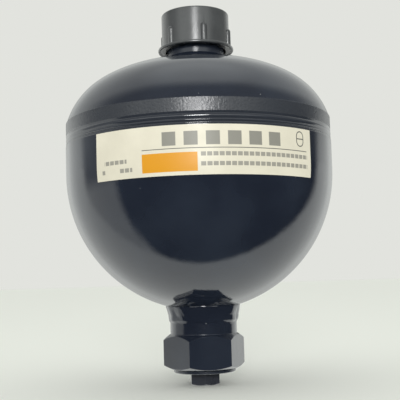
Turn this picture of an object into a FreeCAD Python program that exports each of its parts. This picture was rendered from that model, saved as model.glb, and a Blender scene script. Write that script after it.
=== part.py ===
import FreeCAD, Part
import math
import os

# Diaphragm accumulator: a welded steel vessel with a rubber diaphragm inside.
# Sizes are in millimetres. Heights are measured upwards from the sealing face of the
# fluid port, and the axis of the vessel is the Z axis with the gas side up.
# Directions round the axis are turned from the front, -Y, towards +X, in degrees.

# Vessel
band_radius = 77.5            # machined band at the foot of the gas shell
band_length = 7.3
band_turning = 0.15           # how far the band is turned under the size of the fluid shell
band_shoulder = 0.3           # how far the dome starts inside the band
shell_wall = 5.0
dome_start_angle = 15.8       # slope of the dome above the band, from the upright
dome_knuckle = 42.0
dome_knuckle_end = 59.6       # slope at which the knuckle meets the crown
dome_flat_margin = 0.3        # flat round the weld of the gas boss
bowl_straight = 19.3          # straight length of the fluid shell below the joint
bowl_offset = 1.75            # how far past the axis the arc of the bowl is centred

# Girth weld, from its upper edge down
weld_edge_slope = 0.9
weld_passes = (2.65, 1.55, 1.5)
weld_groove = 0.4
weld_root_gap = 1.6

# Clamping ring and diaphragm
seat_clearance = 0.15         # round a piece pressed into a shell
ring_width = 6.0
ring_above_joint = 7.0
ring_flange = 13.0
ring_leg = 10.0
ring_leg_width = 2.2
ring_leg_bevel = 0.7
bead_clearance = 0.1
bead_bottom_gap = 1.2         # how much shorter the bead is than the leg of the ring
bead_bevel = 1.0
skin_thickness = 2.4
skin_gap = 0.3                # between the resting diaphragm and the shell

# Closing plate in the middle of the diaphragm
plate_radius = 16.0
plate_thickness = 3.0
plate_edge = 0.8
plate_rise = 2.0              # top of the plate above the lowest point inside the shell
plate_recess_gap = 0.5
pad_thickness = 3.0
pad_overhang = 2.5
washer_radius = 14.0
washer_thickness = 2.0
rivet_radius = 4.0
rivet_head_radius = 7.0
rivet_head_height = 2.4
rivet_countersink = 2.0
rivet_clearance = 0.05

# Gas boss, charging screw and seal washer
boss_shoulder_width = 3.0     # from the thread out to the boss below it
boss_base_height = 13.3       # above the flat of the dome
boss_thread_radius = 14.0     # M28 x 1.5
boss_thread_length = 13.0
boss_thread_chamfer = 1.0
boss_undercut = 1.0
boss_undercut_width = 2.0
boss_spigot_radius = 12.0
boss_spigot_projection = 1.0
boss_weld_height = 5.6
boss_weld_width = 3.6
spigot_clearance = 0.05
thread_clearance = 0.05
screw_radius = 6.0            # M12 x 1.5
screw_length = 12.0
screw_collar_width = 2.5
screw_collar_thickness = 3.0
screw_chamfer = 0.8
screw_socket_flats = 6.0
screw_socket_depth = 7.0
screw_socket_direction = 90.0  # the direction that one corner of the socket faces
screw_bore_spare = 2.0        # thread bore below the end of the screw
seal_washer_thickness = 1.5
seal_washer_gap = 0.2
counterbore_clearance = 0.5
counterbore_sink = 1.0        # how far the screw's collar lies below the rim of the boss
gas_passage_radius = 2.5

# Protective cap
cap_skirt_gap = 1.0           # between the skirt and the boss
cap_wall = 2.1
cap_crown = 2.0
cap_head_gap = 3.6            # between the boss and the crown
cap_edge = 0.8
cap_rim_width = 2.4
cap_rim_thickness = 1.8
cap_rim_round = 0.7
cap_skirt_overlap = 3.8       # how far the skirt hangs below the shoulder of the boss
cap_sleeve_wall = 1.85
cap_rib_count = 6
cap_rib_width = 3.8
cap_rib_height = 12.4         # from the foot of the cap to the tip of the rib
cap_rib_projection = 1.5
cap_rib_direction = 14.5

# Fluid port adapter and its weld
hex_flats = 41.0
hex_height = 19.6
hex_direction = 9.75          # the direction that one flat faces
hex_foot_edge = 1.4           # the flat ring left by the lower chamfer lies this far inside
hex_foot_slope = 28.0
hex_top_slope = 38.0
neck_radius = 19.25
neck_length = 5.4             # bare neck between the hexagon and the weld
neck_fillet = 0.65
neck_entry = 0.4              # how far the neck's rim reaches into the shell's wall
port_spigot_radius = 13.0
port_thread_radius = 13.22    # G 3/4
port_thread_depth = 17.0
port_countersink = 2.8
port_cone_slope = 30.0
fluid_passage_radius = 6.0
port_weld_width = 2.35
port_weld_leg = 11.1          # length of the weld down the neck
port_weld_corner_drop = 0.7
port_weld_hollow = 0.45       # how far the face of the fillet is hollowed between its edges

# Plug that closes the port in transport
plug_length = 12.0
plug_flange_edge_gap = 1.25   # the flange lies this far inside the hexagon's flat ring
plug_flange_thickness = 1.85
plug_flange_edge = 0.3
plug_hex_flats = 16.0
plug_hex_height = 7.35
plug_hex_direction = 3.5      # the direction that one corner faces
plug_hex_slope = 30.0
plug_hex_edge = 0.25          # the end face of the head lies this far inside its flats
plug_groove_depth = 1.1
plug_groove_width = 2.6
plug_end_chamfer = 1.0
plug_ring_gap = 0.1           # between the sealing ring and the groove
plug_ring_clearance = 0.3     # between the ring and the cone of the port

# Label on the fluid shell
label_length = 125.0          # round the shell
label_height = 25.2
label_thickness = 0.15
label_glue = 0.1              # layer of adhesive behind the film
label_direction = 3.1
label_gap = 0.2               # below the girth weld

full_turn = 360.0
sixth_turn = 60.0
blank_allowance = 1.0         # how much a blank is wider than what is cut from it
axis_foot = FreeCAD.Vector(0, 0, 0)
axis_up = FreeCAD.Vector(0, 0, 1)

# Sizes that follow from those above
fluid_radius = band_radius + band_turning
bowl_radius = fluid_radius + bowl_offset
hex_foot_radius = hex_flats / 2 - hex_foot_edge
hex_top_radius = neck_radius + neck_fillet
port_weld_radius = neck_radius + port_weld_width
port_weld_foot = hex_height + neck_length
bowl_depth = math.sqrt(bowl_radius ** 2 - (port_weld_radius + bowl_offset) ** 2)
bowl_rim = port_weld_foot + port_weld_leg + bowl_depth
joint_height = bowl_rim + bowl_straight
weld_width = weld_edge_slope + sum(weld_passes)
weld_top = joint_height + weld_width / 2
weld_foot = joint_height - weld_width / 2
band_top = weld_top + band_length
ring_outer = band_radius - shell_wall - seat_clearance
ring_inner = ring_outer - ring_width
ring_top = joint_height + ring_above_joint
ring_flange_foot = ring_top - ring_flange
ring_foot = ring_flange_foot - ring_leg
skin_inset = shell_wall + skin_gap
port_seal_radius = port_thread_radius + thread_clearance + port_countersink
boss_base_radius = boss_thread_radius + boss_shoulder_width
dome_flat_radius = boss_base_radius + boss_weld_width + dome_flat_margin
screw_collar_radius = screw_radius + screw_collar_width
counterbore_radius = screw_collar_radius + counterbore_clearance
counterbore_depth = seal_washer_thickness + screw_collar_thickness + counterbore_sink
plug_flange_radius = hex_foot_radius - plug_flange_edge_gap
cap_radius = boss_base_radius + cap_skirt_gap + cap_wall
cap_rim_radius = cap_radius + cap_rim_width


def bowl_height(radius, inset=0.0):
    """Height of the fluid shell's outside at a radius, or of a surface that far inside it."""
    reach = bowl_radius - inset
    return bowl_rim - math.sqrt(reach ** 2 - (radius + bowl_offset) ** 2)


plate_top = bowl_height(0.0, shell_wall) + plate_rise
plate_foot = plate_top - plate_thickness
pad_top = plate_top + pad_thickness
washer_top = pad_top + washer_thickness


def place(radius, height):
    return FreeCAD.Vector(radius, 0, height)


def outline(steps):
    """A closed face in the XZ plane. A step is the next corner (radius, height), or a pair
    of such places for an arc: one on its way and its end."""
    corner = steps[0]
    edges = []
    for step in steps[1:] + [steps[0]]:
        curved = isinstance(step[0], tuple)
        end = step[1] if curved else step
        if math.dist(corner, end) < 1e-6:
            continue
        if curved:
            curve = Part.Arc(place(*corner), place(*step[0]), place(*end))
        else:
            curve = Part.LineSegment(place(*corner), place(*end))
        edges.append(curve.toShape())
        corner = end
    return Part.Face(Part.Wire(edges))


def turned(steps):
    """The solid that an outline sweeps round the axis."""
    return outline(steps).revolve(axis_foot, axis_up, full_turn)


def backwards(steps):
    """The same corners and arcs from the last to the first."""
    ends = [step[1] if isinstance(step[0], tuple) else step for step in steps]
    result = [ends[-1]]
    for index in range(len(steps) - 1, 0, -1):
        curved = isinstance(steps[index][0], tuple)
        result.append((steps[index][0], ends[index - 1]) if curved else ends[index - 1])
    return result


def dished(rim_radius, rim_height, rim_angle, arcs, side, inset=0.0):
    """Steps of a dished end from its rim to the axis, made of tangent arcs, each a radius and
    the slope at its end. Side is 1 for a dome and -1 for a bowl; inset moves it inwards."""
    angle = math.radians(rim_angle)
    centre_radius = rim_radius
    centre_height = rim_height
    bend = 0.0
    steps = [(rim_radius - inset * math.cos(angle), rim_height - side * inset * math.sin(angle))]
    for arc_radius, end_angle in arcs:
        centre_radius -= (arc_radius - bend) * math.cos(angle)
        centre_height -= side * (arc_radius - bend) * math.sin(angle)
        bend = arc_radius
        reach = arc_radius - inset
        end = min(math.radians(end_angle), math.acos(max(0.0, -centre_radius / reach)))
        arc = []
        for stop in ((angle + end) / 2, end):
            arc.append((centre_radius + reach * math.cos(stop),
                        centre_height + side * reach * math.sin(stop)))
        steps.append(tuple(arc))
        angle = end
    return steps + [(0.0, steps[-1][1][1])]


def dome(inset=0.0):
    """The crown takes the radius that leaves the flat for the gas boss."""
    start = band_radius - band_shoulder
    knuckle_centre = start - dome_knuckle * math.cos(math.radians(dome_start_angle))
    crown = dome_knuckle + (knuckle_centre - dome_flat_radius) / math.cos(
        math.radians(dome_knuckle_end))
    arcs = ((dome_knuckle, dome_knuckle_end), (crown, 90.0))
    return dished(start, band_top, dome_start_angle, arcs, 1, inset)


def bowl(inset=0.0):
    return dished(fluid_radius, bowl_rim, 0.0, ((bowl_radius, 90.0),), -1, inset)


def rod(radius, foot, top):
    return Part.makeCylinder(radius, top - foot, place(0, foot), axis_up)


def hexagon(flats, foot, top, corner_direction):
    """A six-sided prism with one corner facing a direction."""
    corner_radius = flats / 2 / math.cos(math.radians(sixth_turn / 2))
    corners = []
    for index in range(7):
        turn = math.radians(corner_direction + sixth_turn * index)
        corners.append(FreeCAD.Vector(corner_radius * math.sin(turn),
                                      -corner_radius * math.cos(turn), foot))
    return Part.Face(Part.makePolygon(corners)).extrude(axis_up * (top - foot))


dome_flat = dome()[-1][1]


def gas_shell():
    """The upper half, with the machined band, the weld bevel and the hole for the boss."""
    inner = band_radius - shell_wall
    steps = [(inner, joint_height + weld_root_gap / 2), (band_radius, weld_top),
             (band_radius, band_top)]
    shell = turned(steps + dome() + backwards(dome(shell_wall)))
    hole = boss_spigot_radius + spigot_clearance
    return shell.cut(rod(hole, joint_height, dome_flat + shell_wall))


def fluid_shell():
    """The lower half, with its weld bevel, the port hole and the recess for the plate."""
    inner = fluid_radius - shell_wall
    steps = [(inner, joint_height - weld_root_gap / 2), (fluid_radius, weld_foot)]
    shell = turned(steps + bowl() + backwards(bowl(shell_wall)))
    hole = port_spigot_radius + spigot_clearance
    shell = shell.cut(rod(hole, 0, joint_height))
    recess = plate_radius + plate_recess_gap
    return shell.cut(rod(recess, plate_foot - bead_clearance, joint_height))


def girth_weld():
    """Weld metal that fills both bevels, with the crowns of its passes outside."""
    groove_radius = band_radius - weld_groove
    height = weld_top - weld_edge_slope
    steps = [(band_radius - shell_wall, joint_height + weld_root_gap / 2),
             (band_radius, weld_top), (groove_radius, height)]
    for width in weld_passes:
        last = height - width < weld_foot + width / 2
        crown = (band_radius, height - width / 2)
        end = (fluid_radius, weld_foot) if last else (groove_radius, height - width)
        steps.append((crown, end))
        height -= width
    return turned(steps + [(fluid_radius - shell_wall, joint_height - weld_root_gap / 2)])


def clamping_ring():
    """An angle ring behind the weld: its flange covers the bead and its leg backs it."""
    leg_outer = ring_inner + ring_leg_width
    bevel = ring_leg_bevel
    return turned([(ring_outer, ring_top), (ring_inner, ring_top), (ring_inner, ring_foot),
                   (ring_inner + bevel, ring_foot - bevel), (leg_outer - bevel, ring_foot - bevel),
                   (leg_outer, ring_foot), (leg_outer, ring_flange_foot),
                   (ring_outer, ring_flange_foot)])


def diaphragm():
    """A moulded rubber cup with a bead at its rim and a pad in its middle."""
    outer_radius = fluid_radius - skin_inset
    inner_radius = outer_radius - skin_thickness
    bead_inner = ring_inner + ring_leg_width + bead_clearance
    bead_top = ring_flange_foot - bead_clearance
    bead_foot = ring_foot + bead_bottom_gap
    steps = [(outer_radius, bead_top), (bead_inner, bead_top), (bead_inner, bead_foot + bead_bevel),
             (bead_inner + bead_bevel, bead_foot), (inner_radius, bead_foot)]
    cup = turned(steps + bowl(skin_inset + skin_thickness) + backwards(bowl(skin_inset)))
    hollow = turned(bowl(skin_inset) + [(0.0, bowl_rim)])
    pad = rod(plate_radius + pad_overhang, plate_top, pad_top).common(hollow)
    cup = cup.fuse(pad).fuse(rod(plate_radius, plate_top, pad_top)).removeSplitter()
    cup = cup.cut(rod(plate_radius, 0, plate_top))
    return cup.cut(rod(rivet_radius + rivet_clearance, 0, joint_height))


def closing_plate():
    """The steel disc that shuts the fluid passage, countersunk below for the rivet."""
    hole = rivet_radius + rivet_clearance
    sink = rivet_head_radius + rivet_clearance
    return turned([(sink, plate_foot), (plate_radius, plate_foot),
                   (plate_radius, plate_top - plate_edge), (plate_radius - plate_edge, plate_top),
                   (hole, plate_top), (hole, plate_foot + rivet_countersink)])


def backing_washer():
    hole = rivet_radius + rivet_clearance
    return turned([(hole, pad_top), (washer_radius - plate_edge, pad_top),
                   (washer_radius, pad_top + plate_edge), (washer_radius, washer_top),
                   (hole, washer_top)])


def plate_rivet():
    """Countersunk in the plate, with its round head formed over the washer."""
    ball = (rivet_head_radius ** 2 / rivet_head_height + rivet_head_height) / 2
    half = math.asin(rivet_head_radius / ball) / 2
    head_top = washer_top + rivet_head_height
    middle = (ball * math.sin(half), head_top - ball * (1 - math.cos(half)))
    return turned([(0, plate_foot), (rivet_head_radius, plate_foot),
                   (rivet_radius, plate_foot + rivet_countersink), (rivet_radius, washer_top),
                   (rivet_head_radius, washer_top), (middle, (0, head_top))])


boss_shoulder = dome_flat + boss_base_height
boss_top = boss_shoulder + boss_thread_length
counterbore_floor = boss_top - counterbore_depth
screw_seat = counterbore_floor + seal_washer_thickness
screw_top = screw_seat + screw_collar_thickness
screw_end = screw_seat - screw_length


def gas_boss():
    """Welded boss with an outside thread for the cap and a seat for the charging screw."""
    foot = dome_flat - shell_wall - boss_spigot_projection
    undercut = boss_thread_radius - boss_undercut
    body = turned([(0, foot), (boss_spigot_radius, foot), (boss_spigot_radius, dome_flat),
                   (boss_base_radius, dome_flat), (boss_base_radius, boss_shoulder),
                   (undercut, boss_shoulder), (undercut, boss_shoulder + boss_undercut_width),
                   (boss_thread_radius, boss_shoulder + boss_undercut_width + boss_undercut),
                   (boss_thread_radius, boss_top - boss_thread_chamfer),
                   (boss_thread_radius - boss_thread_chamfer, boss_top), (0, boss_top)])
    body = body.cut(rod(counterbore_radius, counterbore_floor, boss_top))
    bore_foot = screw_end - screw_bore_spare
    body = body.cut(rod(screw_radius + thread_clearance, bore_foot, boss_top))
    return body.cut(rod(gas_passage_radius, foot, boss_top))


def gas_boss_weld():
    """Fillet round the foot of the boss."""
    return turned([(boss_base_radius, dome_flat), (boss_base_radius + boss_weld_width, dome_flat),
                   (boss_base_radius, dome_flat + boss_weld_height)])


def charging_seal_washer():
    return turned([(screw_radius + seal_washer_gap, counterbore_floor),
                   (screw_collar_radius, counterbore_floor), (screw_collar_radius, screw_seat),
                   (screw_radius + seal_washer_gap, screw_seat)])


def charging_screw():
    """Collar screw with a hexagon socket."""
    body = turned([(0, screw_end), (screw_radius - screw_chamfer, screw_end),
                   (screw_radius, screw_end + screw_chamfer), (screw_radius, screw_seat),
                   (screw_collar_radius, screw_seat),
                   (screw_collar_radius, screw_top - screw_chamfer / 2),
                   (screw_collar_radius - screw_chamfer / 2, screw_top), (0, screw_top)])
    socket_foot = screw_top - screw_socket_depth
    return body.cut(hexagon(screw_socket_flats, socket_foot, screw_top, screw_socket_direction))


def cap_rib(direction, foot, tip):
    """A round-topped grip rib standing out of the cap's wall."""
    radius = cap_rib_width / 2
    distance = cap_radius + cap_rib_projection - radius
    turn = math.radians(direction)
    centre = FreeCAD.Vector(distance * math.sin(turn), -distance * math.cos(turn), foot)
    height = tip - radius - foot
    post = Part.makeCylinder(radius, height, centre, axis_up)
    return post.fuse(Part.makeSphere(radius, centre + axis_up * height))


def protective_cap():
    """Moulded cap: a skirt with a rim and grip ribs, and a threaded sleeve inside it."""
    foot = boss_shoulder - cap_skirt_overlap
    ceiling = boss_top + cap_head_gap
    top = ceiling + cap_crown
    skirt = boss_base_radius + cap_skirt_gap
    bore = boss_thread_radius + thread_clearance
    sleeve = bore + cap_sleeve_wall
    bend = 1 - math.sqrt(0.5)
    rim_top = foot + cap_rim_thickness
    body = turned([(skirt, foot), (cap_rim_radius - cap_rim_round, foot),
                   ((cap_rim_radius - cap_rim_round * bend, foot + cap_rim_round * bend),
                    (cap_rim_radius, foot + cap_rim_round)),
                   (cap_rim_radius, rim_top - cap_rim_round),
                   ((cap_rim_radius - cap_rim_round * bend, rim_top - cap_rim_round * bend),
                    (cap_rim_radius - cap_rim_round, rim_top)),
                   (cap_radius, rim_top), (cap_radius, top - cap_edge),
                   ((cap_radius - cap_edge * bend, top - cap_edge * bend),
                    (cap_radius - cap_edge, top)),
                   (0, top), (0, ceiling), (bore, ceiling), (bore, boss_shoulder),
                   (sleeve, boss_shoulder), (sleeve, ceiling), (skirt, ceiling)])
    for index in range(cap_rib_count):
        direction = cap_rib_direction + index * full_turn / cap_rib_count
        body = body.fuse(cap_rib(direction, foot + cap_rim_thickness / 2, foot + cap_rib_height))
    return body.removeSplitter()


def port_adapter(shell):
    """Hexagon, neck and spigot in one piece, bored through, with the seat of the plate."""
    rise = math.tan(math.radians(hex_foot_slope))
    fall = math.tan(math.radians(hex_top_slope))
    corner = hex_flats / 2 / math.cos(math.radians(sixth_turn / 2)) + blank_allowance
    blank = turned([(0, 0), (hex_foot_radius, 0), (corner, (corner - hex_foot_radius) * rise),
                    (corner, hex_height - (corner - hex_top_radius) * fall),
                    (hex_top_radius, hex_height), (0, hex_height)])
    nut = blank.common(hexagon(hex_flats, 0, hex_height, hex_direction + sixth_turn / 2))
    neck_top = bowl_height(neck_radius) + neck_entry
    spigot_root = bowl_height(port_spigot_radius) + neck_entry
    fillet = hex_top_radius - neck_radius
    bend = (neck_radius + fillet * (1 - math.sqrt(0.5)), hex_height + fillet * (1 - math.sqrt(0.5)))
    neck = turned([(0, hex_height), (hex_top_radius, hex_height),
                   (bend, (neck_radius, hex_height + fillet)), (neck_radius, neck_top),
                   (port_spigot_radius, spigot_root), (port_spigot_radius, plate_foot),
                   (0, plate_foot)])
    bore = port_thread_radius + thread_clearance
    cone_top = port_thread_depth + (bore - fluid_passage_radius) * math.tan(
        math.radians(port_cone_slope))
    passage = turned([(0, 0), (port_seal_radius, 0), (bore, port_countersink),
                      (bore, port_thread_depth), (fluid_passage_radius, cone_top),
                      (fluid_passage_radius, plate_foot), (0, plate_foot)])
    return nut.fuse(neck).removeSplitter().cut(passage).cut(shell)


def port_weld(shell):
    """Heavy fillet with a hollow face between the neck and the shell."""
    shell_height = bowl_height(port_weld_radius)
    corner_height = shell_height - port_weld_corner_drop
    rise = corner_height - port_weld_foot
    inwards = port_weld_hollow / math.hypot(port_weld_width, rise)
    middle = (neck_radius + port_weld_width / 2 - rise * inwards,
              port_weld_foot + rise / 2 + port_weld_width * inwards)
    body = turned([(neck_radius, port_weld_foot), (middle, (port_weld_radius, corner_height)),
                   (port_weld_radius, shell_height + neck_entry),
                   (neck_radius, shell_height + neck_entry)])
    return body.cut(shell)


def port_plug():
    """Threaded plug with a flange, a hexagon head and a groove for its sealing ring."""
    radius = port_thread_radius
    groove = radius - plug_groove_depth
    flange_foot = -plug_flange_thickness
    body = turned([(0, flange_foot), (plug_flange_radius - plug_flange_edge, flange_foot),
                   (plug_flange_radius, flange_foot + plug_flange_edge),
                   (plug_flange_radius, 0), (groove, 0), (groove, plug_groove_width),
                   (radius, plug_groove_width), (radius, plug_length - plug_end_chamfer),
                   (radius - plug_end_chamfer, plug_length), (0, plug_length)])
    head_foot = flange_foot - plug_hex_height
    corner = plug_hex_flats / 2 / math.cos(math.radians(sixth_turn / 2)) + blank_allowance
    face = plug_hex_flats / 2 - plug_hex_edge
    rise = math.tan(math.radians(plug_hex_slope))
    blank = turned([(0, head_foot), (face, head_foot), (corner, head_foot + (corner - face) * rise),
                    (corner, flange_foot), (0, flange_foot)])
    head = blank.common(hexagon(plug_hex_flats, head_foot, flange_foot, plug_hex_direction))
    return body.fuse(head).removeSplitter()


def port_plug_seal():
    """Rubber profile ring in the groove of the plug, its back at the slope of the port's cone."""
    inner = port_thread_radius - plug_groove_depth + plug_ring_gap
    outer = port_seal_radius - plug_ring_clearance
    top = plug_groove_width - plug_ring_gap
    return turned([(inner, 0), (outer, 0), (outer - top, top), (inner, top)])


def nameplate_label():
    """Thin film stuck on the fluid shell below the weld; its foot follows the bowl."""
    top = weld_foot - label_gap
    lean = math.asin(max(0.0, bowl_rim - (top - label_height)) / bowl_radius)

    def on_bowl(angle, lift):
        reach = bowl_radius + lift
        return (reach * math.cos(angle) - bowl_offset, bowl_rim - reach * math.sin(angle))

    back = label_glue
    front = label_glue + label_thickness
    face = outline([(fluid_radius + back, top), (fluid_radius + back, bowl_rim),
                    (on_bowl(lean / 2, back), on_bowl(lean, back)), on_bowl(lean, front),
                    (on_bowl(lean / 2, front), (fluid_radius + front, bowl_rim)),
                    (fluid_radius + front, top)])
    spread = math.degrees(label_length / fluid_radius)
    face.rotate(axis_foot, axis_up, label_direction - spread / 2 - 90)
    return face.revolve(axis_foot, axis_up, spread)


def build():
    shell = fluid_shell()
    return {
        "gas_shell": gas_shell(),
        "fluid_shell": shell,
        "girth_weld": girth_weld(),
        "clamping_ring": clamping_ring(),
        "diaphragm": diaphragm(),
        "closing_plate": closing_plate(),
        "backing_washer": backing_washer(),
        "plate_rivet": plate_rivet(),
        "gas_boss": gas_boss(),
        "gas_boss_weld": gas_boss_weld(),
        "charging_seal_washer": charging_seal_washer(),
        "charging_screw": charging_screw(),
        "protective_cap": protective_cap(),
        "port_adapter": port_adapter(shell),
        "port_weld": port_weld(shell),
        "port_plug": port_plug(),
        "port_plug_seal": port_plug_seal(),
        "nameplate_label": nameplate_label(),
    }


os.makedirs("parts", exist_ok=True)
for node, shape in build().items():
    shape.exportStep("parts/" + node + ".step")
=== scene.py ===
import math

import bmesh
import bpy
from mathutils import Matrix, Vector, noise


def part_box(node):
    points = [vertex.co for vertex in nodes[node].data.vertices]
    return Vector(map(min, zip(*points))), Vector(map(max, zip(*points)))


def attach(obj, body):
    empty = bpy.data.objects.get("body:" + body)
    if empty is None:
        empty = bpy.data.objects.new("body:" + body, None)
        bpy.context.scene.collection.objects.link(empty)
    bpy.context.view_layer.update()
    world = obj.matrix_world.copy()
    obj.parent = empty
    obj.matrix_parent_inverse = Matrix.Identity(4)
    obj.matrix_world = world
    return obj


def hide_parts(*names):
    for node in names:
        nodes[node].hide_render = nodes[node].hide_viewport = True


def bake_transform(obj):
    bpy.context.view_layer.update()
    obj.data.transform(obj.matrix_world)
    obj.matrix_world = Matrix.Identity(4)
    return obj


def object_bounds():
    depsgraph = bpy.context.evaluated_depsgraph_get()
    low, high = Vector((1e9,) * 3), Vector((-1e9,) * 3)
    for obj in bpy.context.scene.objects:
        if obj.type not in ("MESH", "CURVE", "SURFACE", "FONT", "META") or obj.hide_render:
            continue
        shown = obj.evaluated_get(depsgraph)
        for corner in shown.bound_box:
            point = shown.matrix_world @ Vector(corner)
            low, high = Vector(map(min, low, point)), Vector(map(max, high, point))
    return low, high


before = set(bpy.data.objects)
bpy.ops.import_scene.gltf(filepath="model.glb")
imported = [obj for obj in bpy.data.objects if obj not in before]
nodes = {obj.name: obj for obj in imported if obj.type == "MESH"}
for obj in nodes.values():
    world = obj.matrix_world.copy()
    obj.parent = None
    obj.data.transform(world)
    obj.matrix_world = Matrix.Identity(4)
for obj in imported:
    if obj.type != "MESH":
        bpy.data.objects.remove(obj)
cad_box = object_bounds()

# Sizes are in metres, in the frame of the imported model, with +Z up and the label towards -Y.
# Height 0 is the foot of the hexagon.
MM = 0.001

# Camera, at the photograph's viewing angle
camera_place = Vector((0.0, -0.4647, 0.0525))
camera_pitch = math.radians(5.52)
camera_roll = math.radians(-1.63)
focal_pixels = 791.7
photo_width = 400
sensor_width = 36.0
near_clip = 0.01

# Girth weld and the turned band above it
weld_low, weld_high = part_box("girth_weld")
weld_foot = weld_low.z
weld_top = weld_high.z
band_length = 7.3 * MM
band_top = weld_top + band_length
band_radius = 77.5 * MM
band_turning = 0.15 * MM
fluid_radius = band_radius + band_turning
shell_wall = 5.0 * MM
weld_edge_slope = 0.9 * MM
weld_passes = (2.65 * MM, 1.55 * MM, 1.5 * MM)
weld_groove = 0.4 * MM
weld_root_gap = 1.6 * MM
weld_ripple_pitch = 1.1 * MM
weld_ripple_height = 0.008 * MM
girth_segments = 1800

# Gas boss and cap
boss_base_height = 13.3 * MM
boss_shoulder = boss_base_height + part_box("gas_shell")[1].z
boss_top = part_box("gas_boss")[1].z
boss_base_radius = 17.0 * MM
boss_thread_radius = 14.0 * MM
boss_thread_pitch = 1.5 * MM
boss_thread_depth = 0.85 * MM
boss_undercut_end = 3.0 * MM
thread_chamfer = 1.0 * MM
thread_clearance = 0.05 * MM
cap_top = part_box("protective_cap")[1].z
cap_crown = 2.0 * MM
cap_thread_depth = 0.8 * MM
cap_rounding = 0.25 * MM
cap_rounding_start = 19.0 * MM

# Fluid port and plug
neck_radius = 19.25 * MM
hexagon_rounding = 0.7 * MM
hexagon_rounding_start = neck_radius + 0.8 * MM
port_thread_radius = 13.22 * MM
port_thread_pitch = 1.814 * MM
port_thread_depth = 1.0 * MM
port_countersink = 2.8 * MM
port_thread_end = 17.0 * MM
plug_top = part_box("port_plug")[1].z
plug_groove_width = 2.6 * MM


def rgb(red, green, blue):
    """A colour given as it shows on a screen, 0 to 255, as the linear colour of a shader."""
    def linear(value):
        share = value / 255
        return share / 12.92 if share <= 0.04045 else ((share + 0.055) / 1.055) ** 2.4
    return (linear(red), linear(green), linear(blue), 1.0)


# Small steps for building node trees

def link_or_set(tree, socket, value):
    """Feeds a socket from another one, or gives it a fixed value."""
    if isinstance(value, bpy.types.NodeSocket):
        tree.links.new(value, socket)
    else:
        socket.default_value = value


def calc(tree, operation, *values):
    """A Math node on numbers or sockets; returns its output."""
    node = tree.nodes.new("ShaderNodeMath")
    node.operation = operation
    for socket, value in zip(node.inputs, values):
        link_or_set(tree, socket, value)
    return node.outputs[0]


def step_up(tree, value, low, high, bottom=0.0, top=1.0):
    """A smooth change from bottom to top as a value goes from low to high."""
    node = tree.nodes.new("ShaderNodeMapRange")
    node.interpolation_type = "SMOOTHSTEP"
    for name, number in (("Value", value), ("From Min", low), ("From Max", high),
                         ("To Min", bottom), ("To Max", top)):
        link_or_set(tree, node.inputs[name], number)
    return node.outputs[0]


def between(tree, value, low, high, edge):
    """1 where a value lies between two limits, which soften over edge to either side."""
    rise = step_up(tree, value, low - edge, low + edge)
    fall = step_up(tree, value, high - edge, high + edge, 1.0, 0.0)
    return calc(tree, "MULTIPLY", rise, fall)


def mix(tree, factor, first, second):
    """A mix of two colours."""
    node = tree.nodes.new("ShaderNodeMix")
    node.data_type = "RGBA"
    link_or_set(tree, node.inputs[0], factor)
    link_or_set(tree, node.inputs[6], first)
    link_or_set(tree, node.inputs[7], second)
    return node.outputs[2]


def blend(tree, share, first, second):
    """A number between two others."""
    return calc(tree, "ADD", calc(tree, "MULTIPLY", first, calc(tree, "SUBTRACT", 1.0, share)),
                calc(tree, "MULTIPLY", second, share))


def split(tree, place):
    """The x, y and z of a place."""
    parts = tree.nodes.new("ShaderNodeSeparateXYZ")
    tree.links.new(place, parts.inputs[0])
    return parts.outputs[0], parts.outputs[1], parts.outputs[2]


def joined(tree, x, y, z):
    """A place, or a colour, from its three numbers."""
    node = tree.nodes.new("ShaderNodeCombineXYZ")
    for socket, value in zip(node.inputs, (x, y, z)):
        link_or_set(tree, socket, value)
    return node.outputs[0]


def object_place(tree):
    """Where a point lies in the frame."""
    return tree.nodes.new("ShaderNodeTexCoord").outputs["Object"]


def around(tree, x, y):
    """The turn about the vessel's axis from the front, towards +X, in radians."""
    return calc(tree, "ARCTAN2", x, calc(tree, "MULTIPLY", y, -1.0))


def length(tree, first, second):
    """The length of a line from its two components."""
    return calc(tree, "SQRT", calc(tree, "ADD", calc(tree, "POWER", first, 2.0),
                                   calc(tree, "POWER", second, 2.0)))


# Most of a noise lies between these
noise_low, noise_high = 0.3, 0.7


def grain(tree, place, scale, detail=2.0, roughness=0.5):
    """Noise with about that many grains to the metre, and finer ones on them."""
    node = tree.nodes.new("ShaderNodeTexNoise")
    tree.links.new(place, node.inputs["Vector"])
    node.inputs["Scale"].default_value = scale
    node.inputs["Detail"].default_value = detail
    node.inputs["Roughness"].default_value = roughness
    return node.outputs[0]


def specks(tree, place, scale, size, share):
    """Scattered round specks: that many cells to the metre, a share of them with a speck, whose
    size is its radius as a part of a cell."""
    node = tree.nodes.new("ShaderNodeTexVoronoi")
    tree.links.new(place, node.inputs["Vector"])
    node.inputs["Scale"].default_value = scale
    chosen = tree.nodes.new("ShaderNodeSeparateColor")
    tree.links.new(node.outputs["Color"], chosen.inputs[0])
    near = calc(tree, "LESS_THAN", node.outputs["Distance"], size)
    return calc(tree, "MULTIPLY", near, calc(tree, "LESS_THAN", chosen.outputs[0], share))


def bump(tree, height, distance, under=None):
    """A normal from a height of 0 to 1 that stands for that distance, over another normal."""
    node = tree.nodes.new("ShaderNodeBump")
    node.inputs["Strength"].default_value = 1.0
    node.inputs["Distance"].default_value = distance
    tree.links.new(height, node.inputs["Height"])
    if under is not None:
        tree.links.new(under, node.inputs["Normal"])
    return node.outputs[0]


def new_material(name, **settings):
    """A material and its tree and shader; settings are the shader's own sockets."""
    material = bpy.data.materials.new(name)
    material.use_nodes = True
    tree = material.node_tree
    shader = tree.nodes["Principled BSDF"]
    for socket, value in settings.items():
        shader.inputs[socket.replace("_", " ")].default_value = value
    return material, tree, shader


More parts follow.
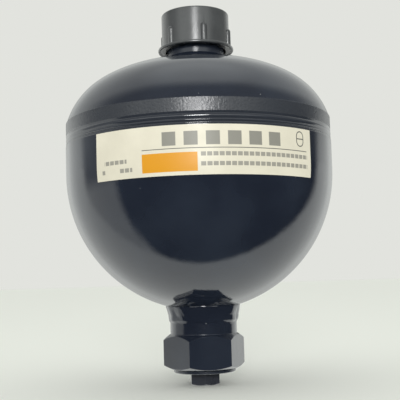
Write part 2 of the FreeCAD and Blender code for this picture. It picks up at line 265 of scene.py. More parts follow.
def connect(tree, shader, colour, roughness, normal):
    """Feeds the three sockets that every material here works out."""
    tree.links.new(colour, shader.inputs["Base Color"])
    tree.links.new(roughness, shader.inputs["Roughness"])
    tree.links.new(normal, shader.inputs["Normal"])


def give(piece, material):
    """Makes a material the only one of a piece."""
    piece.data.materials.clear()
    piece.data.materials.append(material)
    for polygon in piece.data.polygons:
        polygon.material_index = 0


# Paint
paint_dark = rgb(27, 32, 44)
paint_light = rgb(36, 42, 54)
paint_ior = 1.62
paint_roughness = (0.05, 0.12)
paint_cloud_span = (0.35, 0.65)
smear_span = (0.3, 0.75)
peel_height = 0.012 * MM
dust_colour = rgb(150, 152, 150)
dust_strength = 0.4

# The band is greyer and duller, with a fine mottle; its grey, which also covers the weld, is
# partly the paint's own tone and partly a painted sheen.
# Its turning marks are drawn as on a shaft of the mark radius, which stretches them round it.
band_grey_and_sheen = rgb(53, 56, 62)
band_grey_and_sheen_strength = 0.55
band_dullness = 0.22
band_edge = 0.3 * MM
mark_radius = 6.0 * MM
mark_height = 0.022 * MM
mottle_height = 0.14 * MM

# The plug's head is painted lighter, with bare chips at its root
head_lighter_from, head_lighter_to = -1.8 * MM, -2.2 * MM
head_lightening = 0.75
chips_low, chips_high, chips_edge = -2.9 * MM, -1.75 * MM, 0.2 * MM
chip_span = (0.60, 0.64)
lighter_head_colour = rgb(58, 60, 68)
chip_colour = rgb(205, 208, 205)


def plug_head_and_chips(tree, place, z, colour):
    """The paint's colour on the plug's head: lighter over the whole head, with bare chips at its
    root.
    """
    chips = grain(tree, place, scale=900.0, detail=3.0, roughness=0.7)
    chips = step_up(tree, chips, *chip_span)
    root = between(tree, z, chips_low, chips_high, chips_edge)
    # The head's paint is lighter below its root
    plug_head = step_up(tree, z, head_lighter_to, head_lighter_from, head_lightening, 0.0)
    colour = mix(tree, plug_head, colour, lighter_head_colour)
    return mix(tree, calc(tree, "MULTIPLY", chips, root), colour, chip_colour)


def paint_relief(tree, place, turn, z, band, lumps, lump_scale):
    """The normal of the paint: orange peel, the band's marks and mottle, and rough metal."""
    peel = grain(tree, place, scale=420.0, detail=2.0, roughness=0.45)
    normal = bump(tree, peel, peel_height)
    stretched = joined(tree, calc(tree, "MULTIPLY", turn, mark_radius), 0.0, z)
    marks = calc(tree, "MULTIPLY", grain(tree, stretched, scale=2600.0, detail=3.0), band)
    normal = bump(tree, marks, mark_height, under=normal)
    mottle = calc(tree, "MULTIPLY", grain(tree, place, scale=800.0), band)
    normal = bump(tree, mottle, mottle_height, under=normal)
    if lumps:
        rough = grain(tree, place, lump_scale, detail=4.0, roughness=0.55)
        normal = bump(tree, rough, lumps, under=normal)
    return normal


def paint(name, lumps=0.0, lump_scale=None, plug_head=False, dull=0.0):
    """Glossy blue-black paint with orange peel, faint clouds and a few grains of dust. Lumps is
    the height of the rough metal under it, and dull is added to its roughness."""
    material, tree, shader = new_material(name, IOR=paint_ior)
    place = object_place(tree)
    x, y, z = split(tree, place)
    band = between(tree, z, weld_top, band_top, band_edge)
    band_and_weld = between(tree, z, weld_foot, band_top, band_edge)
    clouds = grain(tree, place, scale=22.0, detail=3.0)
    colour = mix(tree, step_up(tree, clouds, *paint_cloud_span), paint_dark, paint_light)
    dust = calc(tree, "MULTIPLY", specks(tree, place, scale=95.0, size=0.03, share=0.16),
                dust_strength)
    colour = mix(tree, dust, colour, dust_colour)
    # Greyer over the band and weld: partly the paint's own tone, partly a painted sheen
    greyer_and_sheen = calc(tree, "MULTIPLY", band_and_weld, band_grey_and_sheen_strength)
    colour = mix(tree, greyer_and_sheen, colour, band_grey_and_sheen)
    # The plug's head is painted lighter, with bare chips at its root
    if plug_head:
        colour = plug_head_and_chips(tree, place, z, colour)
    smears = grain(tree, place, scale=60.0, detail=4.0, roughness=0.65)
    roughness = step_up(tree, smears, *smear_span, *paint_roughness)
    for added in (calc(tree, "MULTIPLY", band, band_dullness), dull, dust):
        roughness = calc(tree, "ADD", roughness, added)
    normal = paint_relief(tree, place, around(tree, x, y), z, band, lumps, lump_scale)
    connect(tree, shader, colour, roughness, normal)
    return material


# Moulded plastic of the cap
plastic_dark, plastic_light = rgb(60, 62, 64), rgb(70, 72, 74)
plastic_dust = rgb(140, 140, 136)
plastic_ior = 1.7
plastic_roughness = (0.18, 0.27)
scuff_span = (0.25, 0.75)
plastic_dust_strength = 0.5
crown_dullness = 0.25
crown_starts_below_top, crown_full_below_top = 0.6 * MM, 0.1 * MM
spark_grain_height = 0.012 * MM


def cap_plastic():
    """Dark grey moulded plastic with a fine spark-eroded grain, duller on top of the cap."""
    material, tree, shader = new_material("cap_plastic", IOR=plastic_ior)
    place = object_place(tree)
    z = split(tree, place)[2]
    clouds = grain(tree, place, scale=70.0, detail=4.0, roughness=0.6)
    colour = mix(tree, step_up(tree, clouds, noise_low, noise_high), plastic_dark, plastic_light)
    dust = specks(tree, place, scale=240.0, size=0.06, share=0.2)
    dust = calc(tree, "MULTIPLY", dust, plastic_dust_strength)
    colour = mix(tree, dust, colour, plastic_dust)
    roughness = step_up(tree, clouds, *scuff_span, *plastic_roughness)
    crown = step_up(tree, z, cap_top - crown_starts_below_top, cap_top - crown_full_below_top,
                    0.0, crown_dullness)
    roughness = calc(tree, "ADD", roughness, crown)
    normal = bump(tree, grain(tree, place, scale=2600.0), spark_grain_height)
    connect(tree, shader, colour, roughness, normal)
    return material


# Label. Places on it are in millimetres: from its middle along the shell, and up from its foot.
label_direction = math.radians(3.1)
label_roll_radius = 77.8
label_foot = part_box("nameplate_label")[0].z
field_left, field_right, field_foot, field_top = -33.4, -4.8, 1.9, 11.4
rule_right, rule_height, rule_width = 58.9, 13.4, 0.4
block_left, block_foot, block_side, block_pitch, block_count = -22.6, 14.9, 7.0, 11.1, 6
bar_pitch, bar_width, bar_height = 3.1, 2.5, 2.1
bar_rows = ((-3.2, 59.3, 9.3), (-3.2, 59.3, 4.4), (-56.6, -42.2, 7.7), (-58.4, -55.9, 3.2),
            (-46.4, -39.0, 3.2))
pitches_before_middle = 100
capsule_middle, capsule_foot, capsule_width, capsule_height = 53.8, 15.6, 5.6, 8.2
capsule_line = 0.55
ink_edge = 0.07
cream_light, cream_dark = rgb(222, 216, 199), rgb(212, 206, 189)
field_colour = rgb(214, 146, 12)
block_colour = rgb(136, 134, 126)
bar_colour = rgb(150, 147, 138)
line_colour = rgb(92, 92, 88)
film_ior = 1.46
film_roughness = (0.32, 0.42)
film_grain_height = 0.006 * MM


def label_fields(tree, along, up):
    """Where the label's fields are: the orange one, the blocks, the bars and the lines."""
    def box(left, right, foot, top):
        return calc(tree, "MULTIPLY", between(tree, along, left, right, ink_edge),
                    between(tree, up, foot, top, ink_edge))

    def together(shapes):
        total = shapes[0]
        for shape in shapes[1:]:
            total = calc(tree, "MAXIMUM", total, shape)
        return total

    field = box(field_left, field_right, field_foot, field_top)
    rule = box(field_left, rule_right, rule_height - rule_width / 2, rule_height + rule_width / 2)
    lefts = [block_left + index * block_pitch for index in range(block_count)]
    blocks = [box(left, left + block_side, block_foot, block_foot + block_side) for left in lefts]

    # The remainder needs a number above 0, so whole pitches are added first.
    shifted = calc(tree, "ADD", along, pitches_before_middle * bar_pitch)
    ticks = calc(tree, "LESS_THAN", calc(tree, "MODULO", shifted, bar_pitch), bar_width)
    rows = [box(left, right, foot, foot + bar_height) for left, right, foot in bar_rows]
    bars = calc(tree, "MULTIPLY", together(rows), ticks)

    # The capsule's outline follows the distance from the line between its two round ends.
    half = capsule_width / 2
    middle = capsule_foot + capsule_height / 2
    aside = calc(tree, "ABSOLUTE", calc(tree, "SUBTRACT", along, capsule_middle))
    above = calc(tree, "ABSOLUTE", calc(tree, "SUBTRACT", up, middle))
    beyond = calc(tree, "MAXIMUM", calc(tree, "SUBTRACT", above, capsule_height / 2 - half), 0.0)
    outline = between(tree, length(tree, aside, beyond), half - capsule_line, half, ink_edge)
    waist = box(capsule_middle - half, capsule_middle + half, middle - capsule_line / 2,
                middle + capsule_line / 2)
    return field, together(blocks), bars, together([rule, outline, waist])


def label_film():
    """Cream film with plain fields where the print was: a bare orange field, a rule, grey blocks
    and bars, and a plain capsule outline with a line across."""
    material, tree, shader = new_material("label_film", IOR=film_ior)
    place = object_place(tree)
    x, y, z = split(tree, place)
    turn = calc(tree, "SUBTRACT", around(tree, x, y), label_direction)
    along = calc(tree, "MULTIPLY", turn, label_roll_radius)
    up = calc(tree, "MULTIPLY", calc(tree, "SUBTRACT", z, label_foot), 1 / MM)
    paper = grain(tree, place, scale=35.0, detail=4.0, roughness=0.6)
    colour = mix(tree, step_up(tree, paper, noise_low, noise_high), cream_light, cream_dark)
    inks = (field_colour, block_colour, bar_colour, line_colour)
    for field, ink in zip(label_fields(tree, along, up), inks):
        colour = mix(tree, field, colour, ink)
    roughness = step_up(tree, paper, noise_low, noise_high, *film_roughness)
    normal = bump(tree, grain(tree, place, scale=1500.0), film_grain_height)
    connect(tree, shader, colour, roughness, normal)
    return material


# Steel and rubber
steel_roughness = (0.24, 0.42)
steel_dark_share = 0.72
steel_mark_height = 0.012 * MM
shoulder_edge = 0.1 * MM
painted_roughness_share = 0.7
rubber_dark, rubber_bloom = rgb(26, 26, 27), rgb(46, 46, 46)
rubber_ior = 1.5
bloom_span = (0.35, 0.7)
rubber_roughness = (0.55, 0.75)
rubber_grain_height = 0.02 * MM


def steel(name, tint, shoulder_paint=False):
    """Turned and plated steel: marks run round the axis. The boss is painted below its thread."""
    material, tree, shader = new_material(name, Metallic=1.0)
    place = object_place(tree)
    x, y, z = split(tree, place)
    marks = grain(tree, joined(tree, length(tree, x, y), 0.0, z), scale=1800.0, detail=3.0)
    clouds = grain(tree, place, scale=90.0, detail=4.0, roughness=0.6)
    darker = tuple(share * steel_dark_share for share in tint[:3]) + (1.0,)
    colour = mix(tree, step_up(tree, clouds, noise_low, noise_high), tint, darker)
    roughness = step_up(tree, clouds, noise_low, noise_high, *steel_roughness)
    if shoulder_paint:
        bare = step_up(tree, z, boss_shoulder - shoulder_edge, boss_shoulder + shoulder_edge)
        colour = mix(tree, bare, paint_light, colour)
        share = step_up(tree, bare, 0.0, 1.0, painted_roughness_share, 1.0)
        roughness = calc(tree, "MULTIPLY", roughness, share)
        tree.links.new(bare, shader.inputs["Metallic"])
    connect(tree, shader, colour, roughness, bump(tree, marks, steel_mark_height))
    return material


def rubber():
    """Matt black moulded rubber with a dusty bloom."""
    material, tree, shader = new_material("rubber", IOR=rubber_ior)
    place = object_place(tree)
    bloom = grain(tree, place, scale=120.0, detail=5.0, roughness=0.65)
    colour = mix(tree, step_up(tree, bloom, *bloom_span), rubber_dark, rubber_bloom)
    roughness = step_up(tree, bloom, noise_low, noise_high, *rubber_roughness)
    normal = bump(tree, grain(tree, place, scale=1400.0, detail=3.0), rubber_grain_height)
    connect(tree, shader, colour, roughness, normal)
    return material


# Pieces

def new_piece(name, mesh, body, slot, *replaced):
    """A mesh that rides on a body, if one is named, and stands for the nodes named last."""
    piece = bpy.data.objects.new(name, mesh)
    bpy.context.scene.collection.objects.link(piece)
    for polygon in mesh.polygons:
        polygon.use_smooth = True
    if body:
        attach(piece, body)
    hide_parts(*replaced)
    return piece


def even_turns(segments):
    """The turns of evenly spaced corners round the axis."""
    return [math.tau * index / segments for index in range(segments)]


def turned_mesh(name, rows, turns, closed=False):
    """A mesh from rows of rings. A row is a function of the turn that gives radius and height. A
    closed one joins its last row to its first, and its faces look outward."""
    mesh = bpy.data.meshes.new(name)
    segments = len(turns)
    places = []
    for row in rows:
        for turn in turns:
            radius, height = row(turn)
            places.append((radius * math.sin(turn), -radius * math.cos(turn), height))
    faces = []
    for row in range(len(rows) if closed else len(rows) - 1):
        base, above = row * segments, (row + 1) % len(rows) * segments
        for index in range(segments):
            after = (index + 1) % segments
            faces.append((base + index, base + after, above + after, above + index))
    mesh.from_pydata(places, [], faces)
    if closed:
        ring = bmesh.new()
        ring.from_mesh(mesh)
        bmesh.ops.recalc_face_normals(ring, faces=ring.faces)
        ring.to_mesh(mesh)
        ring.free()
    mesh.update()
    return mesh


def girth_bead():
    """The passes of the girth weld as round crowns with crescent ripples, closed by its root
    between the shells."""
    steps_per_pass = 8
    crown_power = 0.7
    overlap = 0.05 * MM
    last_edge = 0.15 * MM

    # Down over the passes from the band to the fluid shell, then back up along the root
    profile = [(band_radius, weld_top + overlap), (band_radius, weld_top)]
    level = weld_top - weld_edge_slope
    for width in weld_passes:
        for step in range(steps_per_pass):
            share = step / steps_per_pass
            rise = weld_groove * math.sin(math.pi * share) ** crown_power
            profile.append((band_radius - weld_groove + rise, level - width * share))
        level -= width
    profile[-1] = (fluid_radius, level + last_edge)
    profile.append((fluid_radius, level - overlap))
    face_end = len(profile) - 2
    joint_height = (weld_top + level) / 2
    profile.append((fluid_radius - shell_wall, joint_height - weld_root_gap / 2))
    profile.append((band_radius - shell_wall, joint_height + weld_root_gap / 2))
    ripples = round(math.tau * band_radius / weld_ripple_pitch)
    face_start = 2
    crescent, unevenness = 1.6, 2.0
    noise_radius, noise_rise = 9.0, 0.25
    wave_scale, wave_share = 2.0, 1.6

    def row(index):
        radius, height = profile[index]
        lean = math.sin(math.pi * (index - face_start) / steps_per_pass) * crescent

        def ring(turn):
            if not face_start < index < face_end:
                return radius, height
            spot = Vector((math.cos(turn) * noise_radius, math.sin(turn) * noise_radius,
                           index * noise_rise))
            ripple = math.sin(ripples * turn + lean + unevenness * noise.noise(spot))
            wave = noise.noise(spot * wave_scale)
            return radius + weld_ripple_height * (ripple + wave_share * wave), height
        return ring

    mesh = turned_mesh("girth_bead", [row(index) for index in range(len(profile))],
                       even_turns(girth_segments), closed=True)
    mesh.set_sharp_from_angle(angle=math.radians(50))
    return new_piece("girth_bead", mesh, "vessel", "shell_paint", "girth_weld")


def weld_bead(name, body, node, corners, root, segments, pitch, height, seed):
    """A bead of weld: its face runs through the corners (radius, height), with ripples of that
    pitch and lumps of about that height, and its root, hidden in what it joins, closes it."""
    steps_per_side = 7
    profile = []
    for start, end in zip(corners, corners[1:]):
        for step in range(steps_per_side):
            share = step / steps_per_side
            profile.append((start[0] + (end[0] - start[0]) * share,
                            start[1] + (end[1] - start[1]) * share))
    profile.append(corners[-1])
    face_end = len(profile) - 1
    profile.append(root)
    ripples = round(math.tau * corners[0][0] / pitch)
    noise_radius, noise_rise = 3.0, 2.0
    slant, unevenness, wander_scale = 2.4, 1.5, 2.2
    lump_scale, small_lump_scale, small_lump_share = 1.3, 3.6, 0.3
    ripple_share, lump_share, droop = 0.12, 1.5, 0.35

    def row(index):
        radius, level = profile[index]
        share = min(1.0, index / face_end)
        swell = math.sin(math.pi * share)

        def ring(turn):
            spot = Vector((math.cos(turn) * noise_radius, math.sin(turn) * noise_radius,
                           share * noise_rise + seed))
            wander = noise.noise(spot * wander_scale)
            lean = share * slant + wander * unevenness
            ripple = abs(math.sin((ripples * turn + lean) / 2))
            small_lump = small_lump_share * noise.noise(spot * small_lump_scale)
            lump = noise.noise(spot * lump_scale) + small_lump
            offset = height * swell * (ripple * ripple_share + lump * lump_share)
            return radius + offset, level - offset * droop
        return ring

    mesh = turned_mesh(name, [row(index) for index in range(len(profile))],
                       even_turns(segments), closed=True)
    mesh.set_sharp_from_angle(angle=math.radians(60))
    return new_piece(name, mesh, body, "shell_paint", node)


def on_ring(vertex, radius, level, slack):
    """Whether a corner lies on a ring round the axis."""
    off = abs(math.hypot(vertex.co.x, vertex.co.y) - radius)
    return off < slack and abs(vertex.co.z - level) < slack


def without_wall(mesh, radius, low, high, slack):
    """Takes the upright wall between two heights out of a mesh, and gives the turns of the
    corners that its lower edge leaves."""
    upright_limit = 0.5
    turn_digits = 5
    cut = bmesh.new()
    cut.from_mesh(mesh)
    wall = []
    for face in cut.faces:
        radii = [math.hypot(vertex.co.x, vertex.co.y) for vertex in face.verts]
        heights = [vertex.co.z for vertex in face.verts]
        upright = abs(face.normal.z) < upright_limit
        if upright and max(abs(value - radius) for value in radii) < slack:
            if min(heights) > low - slack and max(heights) < high + slack:
                wall.append(face)
    bmesh.ops.delete(cut, geom=wall, context="FACES")
    turns = sorted({round(math.atan2(vertex.co.x, -vertex.co.y), turn_digits)
                    for vertex in cut.verts if on_ring(vertex, radius, low, slack)})
    cut.to_mesh(mesh)
    cut.free()
    return turns


def thread_rows(radius, low, high, pitch, depth, side):
    """The rows of a thread that fades at both ends. Side is 1 where it is cut into a bore."""
    steps_per_pitch = 8
    fade_length = 0.6 * pitch
    flank_offset, flank_slope = 1.35, 3.2
    count = max(steps_per_pitch, round((high - low) / pitch * steps_per_pitch))

    def row(index):
        level = low + (high - low) * index / count
        fade = min(1.0, (level - low) / fade_length, (high - level) / fade_length)

        def ring(turn):
            phase = (level / pitch - turn / math.tau) % 1.0
            flank = max(0.0, min(1.0, flank_offset - abs(phase - 0.5) * flank_slope))
            return radius + side * depth * fade * flank, level
        return ring

    return [row(index) for index in range(count + 1)]


def threaded(name, node, body, slot, radius, low, high, pitch, depth, inside=False):
    """A copy of a node with a cut thread in place of the plain wall between two heights. The
    thread's first and last rings are welded to the corners that the wall leaves."""
    mesh = nodes[node].data.copy()
    slack = 0.05 * MM
    turns = without_wall(mesh, radius, low, high, slack)
    rows = thread_rows(radius, low, high, pitch, depth, 1 if inside else -1)
    sleeve = turned_mesh(name + "_wall", rows, turns)
    if inside:
        sleeve.flip_normals()
    whole = bmesh.new()
    whole.from_mesh(mesh)
    old_count = len(mesh.vertices)
    whole.from_mesh(sleeve)
    whole.verts.index_update()
    whole.verts.ensure_lookup_table()
    joins = {}
    for level in (low, high):
        ring = [vertex for vertex in whole.verts if on_ring(vertex, radius, level, slack)]
        old = [vertex for vertex in ring if vertex.index < old_count]
        for vertex in ring:
            if vertex.index >= old_count and old:
                joins[vertex] = min(old, key=lambda other: (other.co - vertex.co).length)
    bmesh.ops.weld_verts(whole, targetmap=joins)
    whole.to_mesh(mesh)
    whole.free()
    return new_piece(name, mesh, body, slot, node)


def round_edges(piece, width, inner_radius):
    """Rounds the sharp edges of a piece that lie outside a radius from the axis."""
    doubles_gap = 0.005 * MM
    flat_angle = math.radians(0.5)
    corner_angle = math.radians(20)
    sharp_angle = math.radians(28)
    shape = bmesh.new()
    shape.from_mesh(piece.data)
    bmesh.ops.remove_doubles(shape, verts=shape.verts, dist=doubles_gap)
    bmesh.ops.dissolve_limit(shape, angle_limit=flat_angle, verts=shape.verts, edges=shape.edges)
    corners = []
    for edge in shape.edges:
        nearest = min(math.hypot(vertex.co.x, vertex.co.y) for vertex in edge.verts)
        if nearest > inner_radius and len(edge.link_faces) == 2:
            if edge.calc_face_angle() > corner_angle:
                corners.append(edge)
    bmesh.ops.bevel(shape, geom=corners, offset=width, segments=3, profile=0.5, affect="EDGES",
                    clamp_overlap=True)
    bmesh.ops.triangulate(shape, faces=shape.faces)
    shape.to_mesh(piece.data)
    shape.free()
    for polygon in piece.data.polygons:
        polygon.use_smooth = True
    piece.data.set_sharp_from_angle(angle=sharp_angle)
    shading = piece.modifiers.new("even_faces", "WEIGHTED_NORMAL")
    shading.weight = 100
    shading.keep_sharp = True


# Floor
floor_colour = rgb(240, 241, 235)
floor_roughness = 0.9
floor_shine = 0.1
floor_reach = 6.0


def make_floor():
    """A pale floor under the plug, which only shows from above and lets reflections pass."""
    level = cad_box[0].z
    corners = ((-1, -1), (1, -1), (1, 1), (-1, 1))
    mesh = bpy.data.meshes.new("floor")
    mesh.from_pydata([(x * floor_reach, y * floor_reach, level) for x, y in corners], [],
                     [(0, 1, 2, 3)])
    floor = bpy.data.objects.new("floor", mesh)
    bpy.context.scene.collection.objects.link(floor)
    material, tree, shader = new_material("floor_surface", Base_Color=floor_colour,
                                          Roughness=floor_roughness,
                                          Specular_IOR_Level=floor_shine)
    path = tree.nodes.new("ShaderNodeLightPath")
    facing = tree.nodes.new("ShaderNodeNewGeometry")
    through = calc(tree, "MAXIMUM", path.outputs["Is Glossy Ray"], facing.outputs["Backfacing"])
    clear = tree.nodes.new("ShaderNodeBsdfTransparent")
    choose = tree.nodes.new("ShaderNodeMixShader")
    tree.links.new(through, choose.inputs[0])
    tree.links.new(shader.outputs[0], choose.inputs[1])
    tree.links.new(clear.outputs[0], choose.inputs[2])
    tree.links.new(choose.outputs[0], tree.nodes["Material Output"].inputs["Surface"])
    give(floor, material)


# Surroundings. The paint mirrors a pale room with a dark side in front. Places in it are given by
# the part of a ball's front that would mirror them: across and up from its middle, in radii, or
# by x, y and z of the direction. A span is where a change begins and ends.
background_colour = rgb(226, 227, 222)
room_red, room_blue = 0.975, 0.965
room_light = 0.87
left_to_right = (-0.1, 0.1)
least_spread = 0.0001

# Below: a bright floor round a dark oval, which has a paler left side
bright_level, dark_level, side_level = 1.32, 0.03, 0.95
low_reach_left, low_reach_right, low_reach_down, low_roundness = 0.82, 0.84, 0.655, 1.8
low_edge_span = (0.95, 1.06)
side_turn = math.radians(72)
side_span = (-0.06, 0.1)
side_end_span = (-0.3, -0.1)
side_fade_span = (-0.12, 0.06)
side_fade = 0.35

# Above: a pale ceiling with a lamp, round a half-dark square, and a window in front
ceiling_dark_level, ceiling_level, ceiling_lamp_level = 0.3, 0.97, 0.45
high_reach_left, high_reach_right, high_reach_up, high_roundness = 0.78, 0.92, 0.55, 3.0
high_edge_span = (0.7, 1.4)
ceiling_lamp_span = (0.85, 1.0)
low_to_high = (0.08, 0.3)
window_level = 1.3
window_foot, window_top, window_height_edge = 0.13, 0.36, 0.05
window_left, window_right, window_side_edge = -0.85, 0.75, 0.15
window_depth_span = (-0.3, 0.1)
far_dimming = 0.5
far_span = (0.8, 1.0)


def oval(tree, across, along, reach, reach_along, roundness):
    """1 on the edge of a rounded diamond or square, less inside it and more outside."""
    first = calc(tree, "POWER", calc(tree, "DIVIDE", calc(tree, "ABSOLUTE", across), reach),
                 roundness)
    second = calc(tree, "POWER", calc(tree, "DIVIDE", along, reach_along), roundness)
    return calc(tree, "ADD", first, second)


def low_room(tree, across, down, x, y, z):
    """How bright the lower part of the room is."""
    reach = step_up(tree, across, *left_to_right, low_reach_left, low_reach_right)
    edge = oval(tree, across, down, reach, low_reach_down, low_roundness)
    outside = step_up(tree, edge, *low_edge_span)
    beside = calc(tree, "SUBTRACT", calc(tree, "MULTIPLY", y, math.sin(side_turn)),
                  calc(tree, "MULTIPLY", x, math.cos(side_turn)))
    left = calc(tree, "MULTIPLY", step_up(tree, beside, *side_span),
                step_up(tree, across, *side_end_span, 1.0, 0.0))
    left = calc(tree, "MULTIPLY", left, step_up(tree, z, *side_fade_span, 1.0, side_fade))
    return blend(tree, outside, blend(tree, left, dark_level, side_level), bright_level)


def high_room(tree, across, up, z):
    """How bright the upper part of the room is."""
    reach = step_up(tree, across, *left_to_right, high_reach_left, high_reach_right)
    edge = oval(tree, across, up, reach, high_reach_up, high_roundness)
    outside = step_up(tree, edge, *high_edge_span)
    level = blend(tree, outside, ceiling_dark_level, ceiling_level)
    lamp = step_up(tree, z, *ceiling_lamp_span, 0.0, ceiling_lamp_level)
    return calc(tree, "ADD", level, lamp)


def window(tree, x, y, z):
    """How much the window in front adds."""
    pane = calc(tree, "MULTIPLY",
                between(tree, z, window_foot, window_top, window_height_edge),
                between(tree, x, window_left, window_right, window_side_edge))
    pane = calc(tree, "MULTIPLY", pane, step_up(tree, y, *window_depth_span, 1.0, 0.0))
    return calc(tree, "MULTIPLY", pane, window_level)


def make_world():
    """The room as mirrors see it, even light for everything else, and the background."""
    world = bpy.data.worlds.new("room")
    bpy.context.scene.world = world
    world.use_nodes = True
    tree = world.node_tree
    tree.nodes.clear()
    x, y, z = split(tree, tree.nodes.new("ShaderNodeTexCoord").outputs["Generated"])

    # A ball seen along +Y mirrors a direction where its normal is that direction less +Y. Spread
    # is the length of that difference, kept above 0.
    spread = calc(tree, "SUBTRACT", 2.0, calc(tree, "MULTIPLY", y, 2.0))
    spread = calc(tree, "SQRT", calc(tree, "MAXIMUM", spread, least_spread))
    across = calc(tree, "DIVIDE", x, spread)
    rise = calc(tree, "DIVIDE", z, spread)
    down = calc(tree, "MAXIMUM", calc(tree, "MULTIPLY", rise, -1.0), 0.0)
    up = calc(tree, "MAXIMUM", rise, 0.0)
    low = low_room(tree, across, down, x, y, z)
    high = high_room(tree, across, up, z)
    level = blend(tree, step_up(tree, z, *low_to_high), low, high)
    level = calc(tree, "ADD", level, window(tree, x, y, z))
    far = step_up(tree, y, *far_span, 1.0, 1.0 - far_dimming)
    level = calc(tree, "MULTIPLY", level, far)

    path = tree.nodes.new("ShaderNodeLightPath")
    mirrored = calc(tree, "MAXIMUM", path.outputs["Is Glossy Ray"],
                    path.outputs["Is Transmission Ray"])
    level = blend(tree, mirrored, room_light, level)
    tinted = joined(tree, calc(tree, "MULTIPLY", level, room_red), level,
                    calc(tree, "MULTIPLY", level, room_blue))
    seen = mix(tree, path.outputs["Is Camera Ray"], tinted, background_colour)
    background = tree.nodes.new("ShaderNodeBackground")
    tree.links.new(seen, background.inputs["Color"])
    output = tree.nodes.new("ShaderNodeOutputWorld")
    tree.links.new(background.outputs[0], output.inputs["Surface"])


# Lamp in front and above, for the bright column on the cap and the bright spot on the band
lamp_place = Vector((-0.01, -1.6, 0.45))
lamp_target = Vector((0.0, 0.0, 0.13))
lamp_width, lamp_height = 0.45, 0.38
lamp_power = 0.92
lamp_spread = math.radians(50)


def make_lamp():
    """A broad lamp that points at the vessel."""
    data = bpy.data.lights.new("front_lamp", "AREA")
    data.shape = "RECTANGLE"
    data.size = lamp_width
    data.size_y = lamp_height
    data.energy = lamp_power
    data.spread = lamp_spread
    lamp = bpy.data.objects.new("front_lamp", data)
    bpy.context.scene.collection.objects.link(lamp)
    lamp.location = lamp_place
    lamp.rotation_mode = "QUATERNION"
    lamp.rotation_quaternion = (lamp_target - lamp_place).to_track_quat("-Z", "Y")


def make_camera():
    """The photograph's view: pitched upward and rolled a little about its own axis."""
    forward = Vector((0.0, math.cos(camera_pitch), math.sin(camera_pitch)))
    level = Vector((1.0, 0.0, 0.0))
    upright = level.cross(forward)
    right = math.cos(camera_roll) * level + math.sin(camera_roll) * upright
    up = math.cos(camera_roll) * upright - math.sin(camera_roll) * level
    data = bpy.data.cameras.new("camera")
    data.sensor_width = sensor_width
    data.lens = focal_pixels / photo_width * sensor_width
    data.clip_start = near_clip
    camera = bpy.data.objects.new("camera", data)
    bpy.context.scene.collection.objects.link(camera)
    turn = Matrix((right, up, -forward)).transposed().to_4x4()
    camera.matrix_world = Matrix.Translation(camera_place) @ turn
    bpy.context.scene.camera = camera


make_camera()
make_world()
make_floor()
make_lamp()

body_paint = paint("body_paint")
weld_paint = paint("weld_paint", lumps=0.10 * MM, lump_scale=110.0)
plug_paint = paint("plug_paint", lumps=0.05 * MM, lump_scale=500.0, plug_head=True, dull=0.2)
port_paint = paint("port_paint", lumps=0.12 * MM, lump_scale=90.0, dull=0.05)
plastic = cap_plastic()
film = label_film()
bare_steel = steel("bare_steel", rgb(186, 186, 188))
boss_steel = steel("boss_steel", rgb(150, 150, 150), shoulder_paint=True)
soft_metal = steel("soft_metal", rgb(214, 152, 116))
black_rubber = rubber()

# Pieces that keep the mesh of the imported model
for node in ("gas_shell", "fluid_shell"):
    give(nodes[node], body_paint)
give(nodes["nameplate_label"], film)
for node in ("clamping_ring", "closing_plate", "backing_washer", "plate_rivet", "charging_screw"):
    give(nodes[node], bare_steel)
give(nodes["charging_seal_washer"], soft_metal)
give(nodes["port_plug_seal"], black_rubber)

# Girth weld
give(girth_bead(), body_paint)

# Cap
cap_piece = threaded("protective_cap_threaded", "protective_cap", "cap", "cap_plastic",
                     boss_thread_radius + thread_clearance, boss_shoulder, cap_top - cap_crown,
                     boss_thread_pitch, cap_thread_depth, inside=True)
round_edges(cap_piece, cap_rounding, cap_rounding_start)
give(cap_piece, plastic)

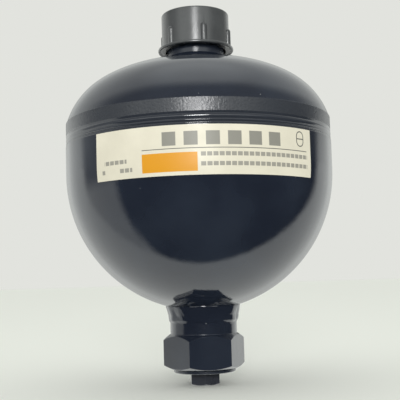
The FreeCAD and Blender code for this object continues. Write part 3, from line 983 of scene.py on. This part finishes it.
# Weld of the port. Its face has a ridge round its lower third, as where two passes meet.
port_weld_low, port_weld_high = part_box("port_weld")
port_weld_foot, port_weld_top = port_weld_low.z, port_weld_high.z
port_weld_radius = port_weld_high.x
port_weld_leg = port_weld_top - port_weld_foot
port_weld_face = [(neck_radius - 0.1 * MM, port_weld_foot - 0.5 * MM),
                  (neck_radius + 0.05 * MM, port_weld_foot + 0.13 * port_weld_leg),
                  (neck_radius + 0.85 * MM, port_weld_foot + 0.26 * port_weld_leg),
                  (neck_radius + 1.0 * MM, port_weld_foot + 0.5 * port_weld_leg),
                  (port_weld_radius - 0.3 * MM, port_weld_foot + 0.85 * port_weld_leg),
                  (port_weld_radius, port_weld_top - 0.5 * MM),
                  (port_weld_radius - 0.1 * MM, port_weld_top + 0.2 * MM)]
port_weld_root = (neck_radius - 0.1 * MM, port_weld_top + 0.2 * port_weld_leg)
port_bead = weld_bead("port_weld_bead", "vessel", "port_weld", port_weld_face, port_weld_root,
                      segments=240, pitch=3.4 * MM, height=0.3 * MM, seed=3.0)
give(port_bead, weld_paint)

# Weld of the gas boss
boss_weld_low, boss_weld_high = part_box("gas_boss_weld")
boss_weld_face = [(boss_base_radius, boss_weld_high.z),
                  (boss_base_radius + 1.6 * MM, boss_weld_low.z + 2.6 * MM),
                  (boss_weld_high.x, boss_weld_low.z)]
boss_weld_root = (boss_base_radius, boss_weld_low.z)
boss_bead = weld_bead("gas_boss_weld_bead", "vessel", "gas_boss_weld", boss_weld_face,
                      boss_weld_root, segments=200, pitch=2.8 * MM, height=0.22 * MM, seed=8.0)
give(boss_bead, weld_paint)

# Threads of the boss, the port and the plug
boss_piece = threaded("gas_boss_threaded", "gas_boss", "vessel", "shell_paint",
                      boss_thread_radius, boss_shoulder + boss_undercut_end,
                      boss_top - thread_chamfer, boss_thread_pitch, boss_thread_depth)
give(boss_piece, boss_steel)

port_piece = threaded("port_adapter_threaded", "port_adapter", "vessel", "shell_paint",
                      port_thread_radius + thread_clearance, port_countersink, port_thread_end,
                      port_thread_pitch, port_thread_depth, inside=True)
round_edges(port_piece, hexagon_rounding, hexagon_rounding_start)
give(port_piece, port_paint)

plug_piece = threaded("port_plug_threaded", "port_plug", "plug", "shell_paint",
                      port_thread_radius, plug_groove_width, plug_top - thread_chamfer,
                      port_thread_pitch, port_thread_depth)
give(plug_piece, plug_paint)

# The diaphragm stretches from its bead, behind the clamping ring, to the closing plate
skin = new_piece("diaphragm_rubber", nodes["diaphragm"].data.copy(), None, "rubber", "diaphragm")
give(skin, black_rubber)
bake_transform(skin)

bpy.context.scene.view_settings.view_transform = "Standard"
